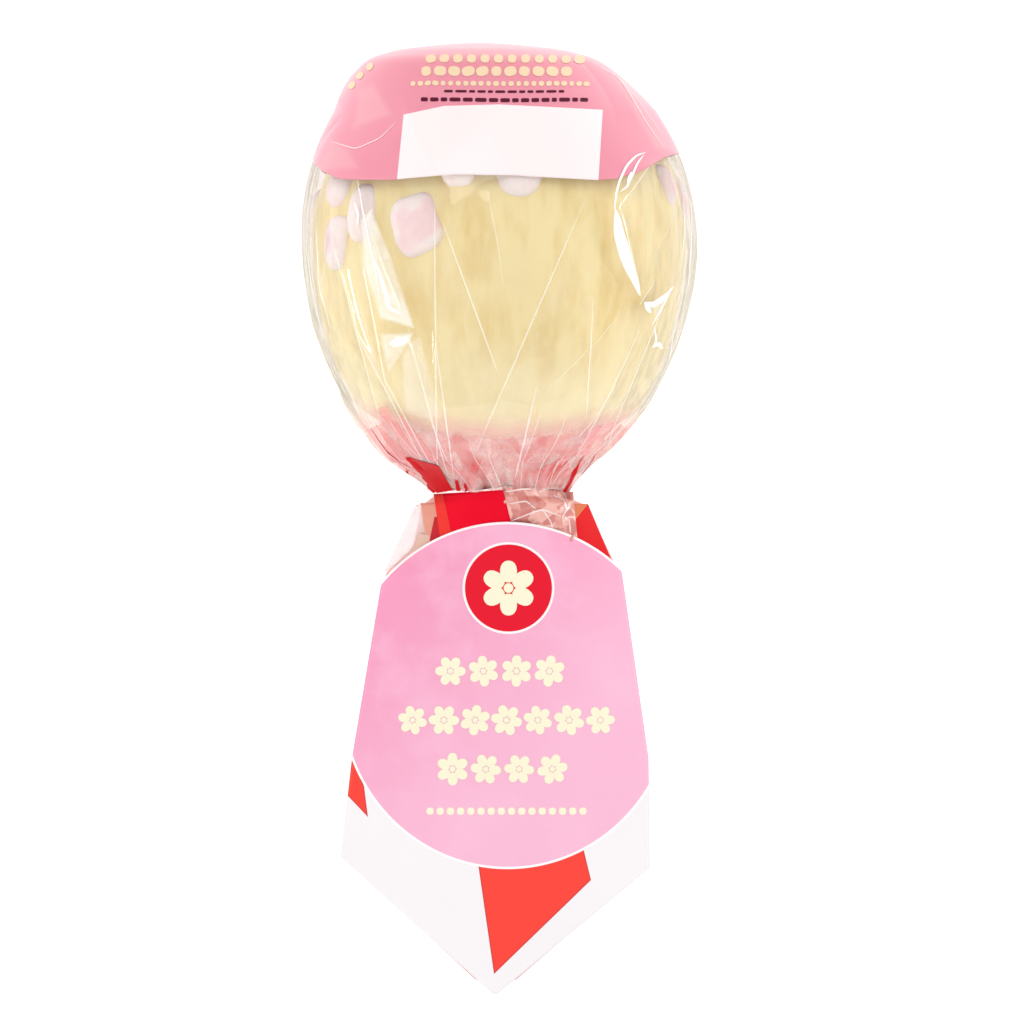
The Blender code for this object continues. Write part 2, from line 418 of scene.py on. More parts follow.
class Nodes:
    """Adds nodes to the tree of one new material, or of one new world, and joins them."""

    def __init__(self, name, owners=bpy.data.materials, shader="Principled BSDF"):
        self.owner = owners.new(name)
        self.owner.use_nodes = True
        self.tree = self.owner.node_tree
        self.shader = self.tree.nodes[shader]

    def put(self, socket, value):
        if isinstance(value, bpy.types.NodeSocket):
            self.tree.links.new(value, socket)
        elif isinstance(value, tuple) and len(value) == 3 and socket.type == "RGBA":
            socket.default_value = (*value, 1.0)
        else:
            socket.default_value = value

    def fill(self, node, inputs):
        for key, value in inputs.items():
            self.put(node.inputs[key.replace("_", " ")], value)
        return node

    def add(self, kind, **inputs):
        return self.fill(self.tree.nodes.new(kind), inputs)

    def set(self, **inputs):
        """Sets or joins the shader's own inputs."""
        self.fill(self.shader, inputs)
        return self.owner

    def math(self, operation, *values, clamp=False):
        node = self.tree.nodes.new("ShaderNodeMath")
        node.operation = operation
        node.use_clamp = clamp
        for socket, value in zip(node.inputs, values):
            self.put(socket, value)
        return node.outputs[0]

    def times(self, first, second):
        return self.math("MULTIPLY", first, second)

    def scaled(self, value, factor, plus):
        return self.math("MULTIPLY_ADD", value, factor, plus)

    def step(self, value, low, high):
        """0 where value is below low, 1 above high."""
        node = self.add("ShaderNodeMapRange", Value=value, From_Min=low, From_Max=high)
        node.interpolation_type = "SMOOTHSTEP"
        return node.outputs[0]

    def mix(self, share, first, second):
        node = self.tree.nodes.new("ShaderNodeMix")
        node.data_type = "RGBA"
        for number, value in ((0, share), (6, first), (7, second)):
            self.put(node.inputs[number], value)
        return node.outputs[2]

    def noise(self, place, scale, detail=3.0, roughness=0.5):
        node = self.add("ShaderNodeTexNoise", Vector=place, Scale=scale, Detail=detail, Roughness=roughness)
        return node.outputs["Fac"]

    def patches(self, low, high, *noise):
        """Soft-edged patches: noise, from below low to above high."""
        return self.step(self.noise(*noise), low, high)

    def shards(self, place, scale):
        """A random number for each of many flat-sided cells."""
        cells = self.add("ShaderNodeTexVoronoi", Vector=place, Scale=scale)
        return self.add("ShaderNodeSeparateColor", Color=cells.outputs["Color"]).outputs[0]

    def stretched(self, place, share):
        """place with its heights times share, so that noise there runs down the wrap."""
        return self.add("ShaderNodeMapping", Vector=place, Scale=(1.0, share, 1.0)).outputs[0]

    def wrap_place(self):
        """(x, y, z, vector) of the shaded point in the wrap's own frame, in mm."""
        object_place = self.add("ShaderNodeTexCoord").outputs["Object"]
        back = LIE.inverted()
        turned = self.add("ShaderNodeMapping", Vector=object_place, Scale=(1 / MM,) * 3)
        turned.inputs["Location"].default_value = back.translation / MM
        turned.inputs["Rotation"].default_value = back.to_euler()
        parts = self.add("ShaderNodeSeparateXYZ", Vector=turned.outputs[0])
        return *parts.outputs, turned.outputs[0]

    def inside(self, x, y, corners):
        """How far inside a convex outline the point is, in mm; corners run anticlockwise."""
        least = None
        for (ax, ay), (bx, by) in zip(corners, corners[1:] + corners[:1]):
            length = math.hypot(bx - ax, by - ay)
            nx, ny = -(by - ay) / length, (bx - ax) / length
            away = self.scaled(y, ny, self.scaled(x, nx, -(ax * nx + ay * ny)))
            least = away if least is None else self.math("MINIMUM", least, away)
        return least

    def paint(self, base, distance, colour, softness=EDGE):
        """base with colour laid over it where distance is above 0."""
        return self.mix(self.step(distance, -softness, softness), base, colour)

    def above_arc(self, x, y, uneven, wander):
        """The height over an arc that is drawn down at its middle, made uneven by this many mm."""
        return self.scaled(uneven, wander, self.scaled(self.times(x, x), ARC_BEND, y))

    def mirror(self, facing, more, least):
        """The share of mirror, which grows from least where the film is seen at a slant."""
        return self.scaled(self.math("POWER", facing, 4.0), more, least)

    def film(self, clear, cover, tint, mirror, roughness):
        """Makes the material film: a clear sheet, a share cover of it tinted, and a share mirror."""
        layers = self.add("ShaderNodeBsdfTransparent", Color=clear).outputs[0]
        tinted = self.add("ShaderNodeBsdfDiffuse", Color=tint).outputs[0]
        gloss = self.add("ShaderNodeBsdfGlossy", Color=WHITE, Roughness=roughness).outputs[0]
        for share, over in ((cover, tinted), (mirror, gloss)):
            both = self.add("ShaderNodeMixShader", Fac=share)
            self.put(both.inputs[1], layers)
            self.put(both.inputs[2], over)
            layers = both.outputs[0]
        self.put(self.tree.nodes["Material Output"].inputs["Surface"], layers)
        self.tree.nodes.remove(self.shader)
        return self.owner

    def bump(self, height, strength, distance):
        bumps = self.add("ShaderNodeBump", Height=height, Strength=strength, Distance=distance)
        self.set(Normal=bumps.outputs[0])


# Painted reflections on the film, as milky facets where it would mirror the lamps: corners seen from the
# front, anticlockwise, in mm, and how milky each is.
FILM_PAINTED_REFLECTIONS = [
    (
        [(-27.8, 6.0), (-27.2, -4.0), (-24.0, -14.0), (-16.4, -16.2)]
        + [(-18.4, -10.0), (-21.4, -1.0), (-25.4, 8.6)],
        0.66,
    ),
    ([(-24.0, -16.6), (-22.4, -26.0), (-18.8, -20.6), (-16.4, -16.4)], 0.58),
    ([(-19.8, -19.6), (-19.0, -33.4), (-10.8, -35.0), (-15.6, -16.8)], 0.28),
    ([(-31.4, -9.0), (-25.0, -26.0), (-22.6, -27.0), (-27.6, -10.4)], 0.22),
    ([(18.2, 10.0), (-4.8, -41.0), (10.0, -37.0), (17.4, -33.0), (18.8, -8.0)], 0.09),
    ([(-12.4, 8.0), (-12.2, -44.0), (0.2, -26.0)], 0.08),
    ([(23.4, 12.0), (23.0, 2.0), (26.0, -7.0), (28.6, -8.0), (25.4, 6.0), (27.0, 17.0)], 0.14),
    ([(30.0, -11.0), (31.4, -15.0), (35.0, -8.2)], 0.35),
]


def clear_film():
    """Glossy clear film: a mirror that grows at a slant, over a see-through sheet with milky facets of
    painted reflection.
    """
    nodes = Nodes("clear_film")
    x, y, _, place = nodes.wrap_place()
    facing = nodes.add("ShaderNodeLayerWeight", Blend=0.5).outputs["Facing"]
    streaks = nodes.patches(0.35, 0.72, nodes.stretched(place, 0.16), 0.55, 4.0, 0.6)
    # Near the neck a veil of thin pink print covers the film, in shards.
    veil = nodes.step(nodes.above_arc(x, y, nodes.noise(place, 0.2, 3.0, 0.6), 5.0), -30.0, -36.5)
    drawn = nodes.stretched(place, 0.4)
    shards = nodes.scaled(nodes.noise(drawn, 0.32, 4.0, 0.6), 1.6, nodes.shards(drawn, 0.34))
    deep = nodes.step(shards, 1.25, 1.65)
    pink = nodes.mix(streaks, (0.96, 0.62, 0.57), (0.99, 0.86, 0.82))
    pink = nodes.mix(nodes.times(deep, 0.85), pink, (0.86, 0.30, 0.28))
    # Seen at a slant the film turns greyer and more milky and lets less through, in streaks. This is partly
    # the film's own tint through more of it, and partly painted shade on the ball's edges.
    slant = nodes.times(nodes.step(facing, 0.15, 0.85), nodes.scaled(veil, -0.8, 1.0))
    haze_and_reflections = nodes.scaled(slant, 0.10, 0.03)
    uneven_reflection = nodes.scaled(nodes.patches(0.35, 0.6, place, 0.16, 1.5), 0.35, 0.65)
    # Painted reflections: milky patches where the film's facets would mirror the lamps.
    for corners, reflection_strength in FILM_PAINTED_REFLECTIONS:
        share = nodes.times(nodes.step(nodes.inside(x, y, corners), -0.1, 0.9), reflection_strength)
        haze_and_reflections = nodes.math("MAXIMUM", haze_and_reflections, nodes.times(share, uneven_reflection))
    haze_and_reflections = nodes.math("MAXIMUM", haze_and_reflections, nodes.times(veil, nodes.scaled(deep, 0.14, 0.32)))
    greyed_at_slant = nodes.times(slant, nodes.scaled(streaks, 0.65, 0.35))
    passed = nodes.mix(greyed_at_slant, (0.985, 0.985, 0.98), (0.60, 0.58, 0.52))
    milky = nodes.mix(veil, nodes.mix(slant, (0.97, 0.95, 0.88), (0.62, 0.58, 0.50)), pink)
    return nodes.film(passed, haze_and_reflections, milky, nodes.mirror(facing, 0.18, 0.07), 0.05)


def sheer(name, colour, opacity, gloss_share):
    """Thin film that is partly coloured or milky, with the same gloss."""
    nodes = Nodes(name)
    *_, place = nodes.wrap_place()
    mottled = nodes.scaled(nodes.noise(place, 0.35, 4.0, 0.6), 0.7, 0.65)
    cover = nodes.math("MULTIPLY", mottled, opacity, clamp=True)
    facing = nodes.add("ShaderNodeLayerWeight", Blend=0.5).outputs["Facing"]
    return nodes.film((0.98, 0.98, 0.98), cover, colour, nodes.mirror(facing, 0.6, gloss_share), 0.1)


def crumpled_film():
    """Clear film crumpled over pink: salmon and whitish shards under a gloss."""
    nodes = Nodes("crumpled_film")
    *_, place = nodes.wrap_place()
    pale = nodes.step(nodes.scaled(nodes.noise(place, 0.5), 0.8, nodes.shards(place, 0.42)), 0.5, 1.1)
    pink = nodes.mix(pale, (0.62, 0.20, 0.17), (0.86, 0.46, 0.40))
    return nodes.set(Base_Color=pink, Roughness=0.2, Coat_Weight=0.5, Coat_Roughness=0.05)


def gathered_pink():
    """Crumpled pink-tinted film: pale and salmon patches that run down, with a broken gloss."""
    nodes = Nodes("gathered_pink")
    drawn = nodes.stretched(nodes.wrap_place()[3], 0.45)
    pale = nodes.patches(0.38, 0.66, drawn, 0.28, 4.0, 0.6)
    pink = nodes.mix(pale, (0.88, 0.33, 0.31), (0.97, 0.66, 0.60))
    deep = nodes.patches(0.56, 0.74, drawn, 0.42, 4.0, 0.65)
    pink = nodes.mix(nodes.times(deep, 0.8), pink, (0.78, 0.15, 0.16))
    return nodes.set(Base_Color=pink, Roughness=0.28, Coat_Weight=0.4, Coat_Roughness=0.08)


def white_chocolate():
    """Cream with golden streaks where the coat ran, and pink film close over its lower edge."""
    nodes = Nodes("white_chocolate")
    x, y, _, place = nodes.wrap_place()
    streaks = nodes.patches(0.4, 0.68, nodes.stretched(place, 0.28), 0.2, 4.0, 0.6)
    cream = nodes.mix(streaks, (0.915, 0.745, 0.355), (0.81, 0.59, 0.20))
    clouds = nodes.patches(0.35, 0.65, place, 0.05, 2.0)
    cream = nodes.mix(nodes.times(clouds, 0.4), cream, (0.91, 0.765, 0.42))
    cream = nodes.mix(nodes.times(nodes.step(y, -14.0, -34.0), 0.5), cream, (0.96, 0.84, 0.54))
    low = nodes.step(nodes.above_arc(x, y, nodes.noise(place, 0.25), 4.0), -30.0, -36.0)
    cream = nodes.mix(nodes.times(low, 0.85), cream, (0.93, 0.56, 0.46))
    nodes.bump(nodes.noise(place, 0.9, 4.0), 0.12, 0.0004)
    nodes.set(Subsurface_Weight=0.15, Subsurface_Scale=0.004, Subsurface_Radius=(1.0, 0.7, 0.35))
    return nodes.set(Base_Color=cream, Roughness=0.32)


def apple_skin():
    """Pink-red skin with flecks that run down, and paler areas."""
    nodes = Nodes("apple_skin")
    *_, place = nodes.wrap_place()
    flecks = nodes.patches(0.35, 0.68, nodes.stretched(place, 0.3), 0.5, 5.0, 0.65)
    pink = nodes.mix(flecks, (0.88, 0.42, 0.38), (0.80, 0.24, 0.23))
    pink = nodes.mix(nodes.patches(0.45, 0.7, place, 0.18), pink, (0.92, 0.58, 0.50))
    return nodes.set(Base_Color=pink, Roughness=0.35)


def marshmallow():
    """Dull, powdery pale pink with deeper flecks."""
    nodes = Nodes("marshmallow")
    *_, place = nodes.wrap_place()
    pink = nodes.mix(nodes.patches(0.42, 0.6, place, 0.12, 2.0), (0.98, 0.70, 0.72), (1.0, 0.84, 0.82))
    flecks = nodes.patches(0.58, 0.72, place, 1.4, 4.0, 0.6)
    pink = nodes.mix(nodes.times(flecks, 0.35), pink, (0.90, 0.45, 0.52))
    nodes.bump(nodes.noise(place, 2.2, 5.0, 0.6), 0.25, 0.0005)
    return nodes.set(Base_Color=pink, Roughness=0.75, Subsurface_Weight=0.25, Subsurface_Scale=0.004)


WHITE_FIELD = [(-20.5, 12.0), (19.7, 12.0), (20.7, 27.8), (0.0, 28.8), (-11.0, 28.5), (-19.0, 26.8)]
# Paler fields on the cap: painted highlights, where its film would catch the light.
CAP_PAINTED_HIGHLIGHTS = [
    [(-37.5, 15.0), (-27.0, 15.6), (-29.8, 20.6), (-33.8, 22.6)],
    [(21.0, 36.6), (30.8, 19.6), (36.0, 19.0), (27.0, 34.6)],
    [(-30.0, 23.0), (-20.4, 26.6), (-25.0, 34.0), (-28.6, 32.0)],
]


def cap_print():
    """Pink print with a blank white field on its front."""
    nodes = Nodes("cap_print")
    x, y, z, place = nodes.wrap_place()
    pink = nodes.mix(nodes.noise(place, 0.05), (0.78, 0.25, 0.33), (0.80, 0.29, 0.37))
    pink = nodes.mix(nodes.times(nodes.step(y, 31.0, 41.3), 0.5), pink, (0.76, 0.19, 0.24))
    # Painted highlights on the cap's film: paler pink in these fields.
    for facet in CAP_PAINTED_HIGHLIGHTS:
        share = nodes.times(nodes.step(nodes.inside(x, y, facet), -0.1, 1.6), 0.4)
        pink = nodes.mix(share, pink, (0.86, 0.44, 0.46))
    field = nodes.math("MINIMUM", nodes.inside(x, y, WHITE_FIELD), z)
    colour = nodes.paint(pink, field, (0.94, 0.82, 0.82))
    return nodes.set(
        Base_Color=colour, Roughness=0.3, Specular_IOR_Level=0.3, Coat_Weight=0.25, Coat_Roughness=0.06
    )


RED_FIELDS = [
    [(-4.2, -122.6), (-1.0, -144.8), (18.4, -126.0), (16.8, -119.4)],
    [(-29.4, -101.0), (-30.4, -109.0), (-26.2, -113.4), (-27.0, -107.2)],
]


def tail_print():
    """Pink disc with a thin white rim on white, with red fields that touch the disc."""
    nodes = Nodes("tail_print")
    x, y, _, place = nodes.wrap_place()
    squares = []
    for value, middle, half in zip((x, y), DISC_MIDDLE, DISC_HALF):
        squares.append(nodes.math("POWER", nodes.scaled(value, 1 / half, -middle / half), 2.0))
    out = nodes.math("SQRT", nodes.math("ADD", *squares))
    in_disc = nodes.times(nodes.math("SUBTRACT", 1.0, out), DISC_HALF[0])
    colour = nodes.mix(nodes.noise(place, 0.035), (0.86, 0.81, 0.83), (0.91, 0.88, 0.89))
    for field in RED_FIELDS:
        reach = nodes.inside(x, y, field)
        colour = nodes.paint(colour, reach, (0.60, 0.02, 0.02))
        colour = nodes.paint(colour, nodes.math("SUBTRACT", reach, 0.22), (0.93, 0.030, 0.012), 0.12)
    colour = nodes.paint(colour, in_disc, (0.97, 0.95, 0.95))
    lower = nodes.step(nodes.scaled(x, -0.9, y), -40.0, -118.0)
    pink = nodes.mix(lower, (0.86, 0.30, 0.48), (0.90, 0.46, 0.63))
    clouds = nodes.patches(0.4, 0.7, place, 0.06, 4.0, 0.6)
    pink = nodes.mix(nodes.times(clouds, 0.6), pink, (0.92, 0.50, 0.67))
    colour = nodes.paint(colour, nodes.math("SUBTRACT", in_disc, DISC_RIM), pink)
    nodes.bump(nodes.noise(place, 0.12), 0.15, 0.0006)
    return nodes.set(Base_Color=colour, Roughness=0.42, Coat_Weight=0.15, Coat_Roughness=0.25)


def plain_print(name, colour, roughness=0.45, variation=0.12):
    """Printed film of one colour, a little uneven."""
    nodes = Nodes(name)
    *_, place = nodes.wrap_place()
    darker = tuple(channel * (1.0 - variation) for channel in colour)
    uneven = nodes.mix(nodes.noise(place, 0.12, 4.0), darker, colour)
    nodes.bump(nodes.noise(place, 0.3), 0.1, 0.0004)
    return nodes.set(Base_Color=uneven, Roughness=roughness, Specular_IOR_Level=0.1)


# What is inside the film

CHOCOLATE_PROFILE = [
    (0.0, 31.0), (8.0, 32.4), (18.0, 32.0), (27.5, 27.0), (34.0, 17.0), (37.0, 5.0), (36.6, -7.0),
    (33.6, -20.0), (28.2, -31.0), (22.0, -38.0), (17.0, -42.4),
]
SKIN_UNDER = 1.6  # the chocolate's thickness
APPLE_BOTTOM = [(10.0, -43.6), (5.0, -41.5), (1.5, -36.0)]
CHOCOLATE_END = -38.2


def coat_edge(angle):
    """The height that the chocolate's wavy lower edge has at this angle."""
    wave = 0.5 * np.sin(3 * angle - 0.9) + 0.4 * np.sin(5 * angle + 0.4) + 0.3 * np.sin(11 * angle + 2.0)
    return CHOCOLATE_END + 3.6 * np.cos(angle) ** 2 + wave


def lathe(profile, rows, columns):
    """(angle, radius, height) grids of a surface of revolution through profile."""
    curve = spline(profile, np.linspace(0.01, 1.0, rows))
    return np.broadcast_arrays(all_round(columns), curve[:, :1], curve[:, 1:])


def as_points(angle, radius, height):
    """Points of a surface of revolution that is flattened towards the neck as the wrap is."""
    return np.stack([radius * np.cos(angle), height, radius * np.sin(angle) * neck_depth(height)], axis=-1)


def add_chocolate():
    """The white chocolate coat, with shallow runs and a rounded wavy lip round the apple's lower end."""
    angle, radius, height = lathe(CHOCOLATE_PROFILE, 190, 260)
    points = as_points(angle, radius, height)
    runs = 0.16 * ripple(points * np.array([1.0, 0.3, 1.0]), 9.0, 3)
    lumps = 0.28 * ripple(points, 22.0, 4)
    past = coat_edge(angle) - height
    sink = (SKIN_UNDER + 0.7) * smooth(-3.2, 1.6, past)
    radius = np.maximum(radius + (runs + lumps) * smooth(0.0, 12.0, radius) - sink, 0.01)
    add_grid("white_chocolate", as_points(angle, radius, height), white_chocolate(), True, True)


def add_apple():
    """The apple itself, whose bare lower end with its hollow shows under the chocolate."""
    under_coat = [(max(0.0, r - SKIN_UNDER), h - SKIN_UNDER * (h > 20.0)) for r, h in CHOCOLATE_PROFILE]
    angle, radius, height = lathe(under_coat + APPLE_BOTTOM, 120, 160)
    lobes = 1.0 + 0.012 * np.cos(5 * angle) * smooth(-20.0, -42.0, height)
    add_grid("apple", as_points(angle, radius * lobes, height), apple_skin(), True, True, True)


# The marshmallows that show below the cap: (x, y) from the front, two sizes, and how far they tip.
FRONT_MARSHMALLOWS = [
    ((-17.4, 5.0), (10.4, 12.6), 16.0),
    ((-28.6, 7.4), (7.6, 12.4), 4.0),
    ((-33.6, 1.2), (7.2, 11.6), -10.0),
    ((-34.6, 12.4), (8.6, 9.0), -20.0),
    ((-9.4, 17.0), (7.0, 10.0), 8.0),
    ((4.6, 15.6), (9.2, 11.0), -4.0),
    ((36.4, 13.0), (7.0, 9.0), 14.0),
]


MARSHMALLOW_HALF_DEPTH = 3.1
MARSHMALLOW_SUNK = 1.0
COAT_BEND = 38.0  # the radius of the coat's curve under them
SEEN_RADIUS = 38.5  # the radius that turns where they show into an angle round the apple


def squared(value, power):
    """A sine or cosine that draws a squarer outline, the smaller power is."""
    return np.sign(value) * np.abs(value) ** power


def marshmallow_points(angle, run_height, size, tip, draw):
    """A soft rounded block that lies on the chocolate at this angle and height, bent to its curve."""
    rows, columns, power = 22, 36, 0.68
    across = np.linspace(0.08, math.pi - 0.08, rows)[:, None]
    around = all_round(columns)
    u = squared(np.sin(across), power) * squared(np.cos(around), power) * size[0] / 2
    v = squared(np.sin(across), power) * squared(np.sin(around), power) * size[1] / 2
    w = squared(np.cos(across), power) * np.ones_like(around) * MARSHMALLOW_HALF_DEPTH
    block = np.stack([u, v, w], axis=-1)
    outward = block / np.maximum(np.linalg.norm(block, axis=-1, keepdims=True), 0.1)
    for high, wave in ((0.28, 7.0), (0.06, 1.6)):
        block = block + (high * ripple(block, wave, draw.randrange(999)))[..., None] * outward
    tilt = math.radians(tip)
    spin = np.array([[math.cos(tilt), math.sin(tilt), 0], [-math.sin(tilt), math.cos(tilt), 0], [0, 0, 1]])
    block = block @ spin
    side_profile = [(h, r) for r, h in CHOCOLATE_PROFILE[2:]]
    radius, lower, upper = (along(side_profile, run_height + step) for step in (0.0, -2.0, 2.0))
    slope = math.atan2(lower - upper, 4.0)
    level = math.cos(slope)
    outward = np.array([level * math.cos(angle), math.sin(slope), level * math.sin(angle)])
    side = np.array([math.sin(angle), 0.0, -math.cos(angle)])
    up = np.cross(outward, side)
    up *= np.sign(up[1]) if abs(up[1]) > 1e-6 else 1.0
    centre = np.array([radius * math.cos(angle), run_height, radius * math.sin(angle)])
    centre = centre - outward * MARSHMALLOW_SUNK
    bent = block[..., 2:] - (block[..., :1] ** 2 + block[..., 1:2] ** 2) / (2 * COAT_BEND)
    return centre + block[..., :1] * side + block[..., 1:2] * up + bent * outward


def add_marshmallows():
    """Marshmallows stuck to the coat: those of the photograph, and more round the back and on top."""
    draw = random.Random(SEED + 1)
    places = []
    for (x, y), size, tip in FRONT_MARSHMALLOWS:
        places.append((math.acos(max(-1.0, min(1.0, x / SEEN_RADIUS))), y, size, tip))
    back, top = 9, 7
    for n in range(back):
        angle = -math.pi * (n + draw.uniform(0.25, 0.75)) / back
        height, size = draw.uniform(2.0, 15.0), (draw.uniform(8, 11), draw.uniform(9, 12.5))
        places.append((angle, height, size, draw.uniform(-30, 30)))
    for n in range(top):
        angle = 2 * math.pi * (n + draw.uniform(0.2, 0.8)) / top
        height, size = draw.uniform(24.5, 27.5), (draw.uniform(8, 11), draw.uniform(8, 11))
        places.append((angle, height, size, draw.uniform(-40, 40)))
    finish = marshmallow()
    for n, (angle, height, size, tip) in enumerate(places):
        points = marshmallow_points(angle, height, size, tip, draw)
        add_grid(f"marshmallow_{n + 1}", points, finish, True, True, True)


# The film


def add_film():
    """The clear film, from the cap down to the neck, with every crease in its mesh."""
    rows, columns, start = 230, 420, 2.0
    run = np.linspace(start, RUN_LENGTH, rows)[:, None]
    angle = all_round(columns)
    film = add_grid("clear_film", film_points(angle, run), clear_film(), True)
    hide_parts("wrapped_apple")


def crease_strip(crease, width):
    """A hair-thin strip that follows a crease on the film's outside, narrowing to its ends."""
    start, end, count = 0.04, 0.97, 60
    share = np.linspace(start, end, count)
    run = crease.start[1] + (crease.end[1] - crease.start[1]) * share
    middle, _ = crease.line(run)
    radius = profile_at(run)[0]
    half = width / 2 * np.sqrt(np.sin(math.pi * np.clip((share - start) / (end - start), 0.0, 1.0))) + 0.01
    sides = [film_points(middle + side * half / radius, run, 0.05) for side in (-1, 1)]
    return np.stack(sides, axis=1)


def add_crease_lines():
    """The white lines that sharp folds leave in clear film."""
    draw = random.Random(SEED + 2)
    strips = []
    least_height, seen_width = 0.3, 0.28
    for n, crease in enumerate(CREASES):
        if crease.height < least_height:
            continue
        seen = n < len(SEEN_CREASES)
        strips.append(crease_strip(crease, seen_width if seen else draw.uniform(0.10, 0.22)))
    add_patches("film_crease_lines", strips, sheer("crease_white", (0.99, 0.98, 0.93), 0.55, 0.08))


# White glints on folds: places along each as seen from the front, in mm, and its greatest width.
GLINTS = [
    ([(29.8, 19.6), (27.6, 18.8), (25.4, 16.6), (23.8, 13.4), (23.0, 9.6), (23.2, 5.6)], 0.5),
    ([(23.2, 8.0), (23.8, 3.0), (25.4, -2.4), (28.4, -9.4)], 2.6),
    ([(29.4, 19.2), (27.6, 17.0), (26.4, 14.6), (25.4, 12.4), (24.0, 11.4)], 0.5),
    ([(26.4, 15.4), (25.4, 12.6)], 0.9),
    ([(29.2, -10.8), (31.4, -11.2), (33.6, -9.6), (35.4, -7.4)], 1.3),
    ([(29.4, -10.6), (30.8, -12.8)], 1.2),
    ([(35.2, -7.6), (33.0, -11.4), (30.8, -15.4)], 0.5),
    ([(31.2, -15.4), (32.0, -18.4), (31.0, -19.8)], 0.5),
    ([(31.0, -19.8), (32.4, -19.0), (33.2, -20.0)], 0.8),
    ([(35.6, -15.0), (34.2, -22.0), (31.0, -29.0)], 0.30),
    ([(38.6, 10.0), (38.8, 2.0), (38.2, -6.0), (36.6, -14.0)], 0.35),
    ([(37.0, 12.0), (37.6, 4.0), (37.0, -4.0)], 0.25),
    ([(-38.2, 8.0), (-38.4, 0.0), (-37.4, -8.0), (-35.0, -18.0)], 0.30),
    ([(-36.6, 4.0), (-36.0, -6.0), (-33.6, -16.0)], 0.25),
    ([(-28.6, 14.0), (-27.8, 8.0), (-25.0, -3.0), (-23.6, -13.0)], 0.35),
    ([(-29.4, 9.4), (-28.6, 7.0), (-28.8, 4.6)], 0.70),
    ([(17.6, 38.4), (24.0, 34.6), (30.2, 25.0), (33.4, 20.4)], 0.20),
    ([(22.0, 36.4), (28.0, 30.0), (33.0, 23.0)], 0.18),
    ([(-33.6, 21.6), (-29.0, 20.2), (-24.0, 22.4), (-20.6, 25.6)], 0.14),
]
GLINT_LIFT = 0.07
CAP_LIFT = 0.14
SHEET = 0.12  # the thickness of one sheet of printed film


def soft_line(places, count):
    """count places on a rounded line through places."""
    reach = 5
    kernel = np.hanning(2 * reach + 1)
    kernel = kernel / kernel.sum()
    share = np.linspace(0.0, 1.0, count)
    knots = np.linspace(0.0, 1.0, len(places))
    given = [np.interp(share, knots, line) for line in zip(*places)]
    padded = [np.pad(line, reach, "reflect", reflect_type="odd") for line in given]
    return [np.convolve(line, kernel, "valid") for line in padded]


def glint_strip(places, width):
    """A narrow strip on the film through places seen from the front, widest in its middle."""
    count = 50
    x, y = soft_line(places, count)
    angle, run = angle_at(x, y), run_at(y)
    radius = profile_at(run)[0]
    way_round, way_down = np.gradient(angle) * radius, np.gradient(run)
    half = width / 2 * np.sin(math.pi * np.linspace(0.0, 1.0, count)) ** 0.7 + 0.01
    across = half / (np.hypot(way_round, way_down) + 1e-6)
    lift = GLINT_LIFT + (CAP_LIFT + GLINT_LIFT) * smooth(11.0, 13.0, y)
    aside, along_run = across * way_down / radius, across * way_round
    sides = [film_points(angle - side * aside, run + side * along_run, lift) for side in (-1, 1)]
    return np.stack(sides, axis=1)


def add_glints():
    """Bright folds where the photograph's film catches the light."""
    strips = [glint_strip(places, width) for places, width in GLINTS]
    add_patches("film_glints", strips, sheer("glint_white", (1.0, 1.0, 0.99), 1.2, 0.1))


def add_cap():
    """The printed film over the apple's top, from near its middle down to its rim."""
    rows, columns = 110, 360
    share = np.linspace(0.01, 1.0, rows)[:, None]
    angle = all_round(columns)
    rim_run = run_at(along(CAP_RIM, np.cos(angle)))
    points = film_points(angle, share * rim_run, CAP_LIFT)
    cap = add_grid("printed_cap_film", points, cap_print(), True, True)
    give_thickness(cap, SHEET)
    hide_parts("printed_cap")


# The tail

PANEL_LIFT = 0.35
PANEL_CORNERS = (-23.0, 24.4)
MARK_LIFT = 0.03
HEM = [(-31.7, -121.4), (-0.8, -149.2), (30.2, -123.6)]


def tail_depth(x, y):
    """Half of the tail's thickness at this place; above its top it stays as at its top."""
    left, right = along(TAIL_LEFT, y), along(TAIL_RIGHT, y)
    middle, half = 0.5 * (left + right), np.maximum(0.5 * (right - left), 0.01)
    across = np.clip(np.abs((x - middle) / half), 0.0, 1.0)
    crown = along(TAIL_HALF_DEPTH, y) - TAIL_EDGE_HALF
    return TAIL_EDGE_HALF + crown * (1.0 - across**TAIL_CROWN_POWER)


def disc_top(x):
    """The height of the disc's upper edge at x."""
    across = np.clip((x - DISC_MIDDLE[0]) / DISC_HALF[0], -0.99, 0.99)
    return DISC_MIDDLE[1] + DISC_HALF[1] * np.sqrt(1.0 - across**2)


def hem(x):
    """The height of the tail's pointed lower edge at x."""
    return along(HEM, x)


def panel_surface(x, y, side, lift=0.0):
    """A place on the tail's printed panel, on the front at side 1 or the back at -1."""
    depth = tail_depth(x, y)
    waves = 0.16 * ripple(np.stack([x, y * 0.5, 0 * x], axis=-1), 24.0, 7 if side > 0 else 8)
    spring = PANEL_LIFT * smooth(12.0, 0.0, disc_top(x) - y)
    z = side * (depth + lift + (waves + spring) * smooth(TAIL_EDGE_HALF, 2.5, depth))
    return np.stack([x, y, z], axis=-1)


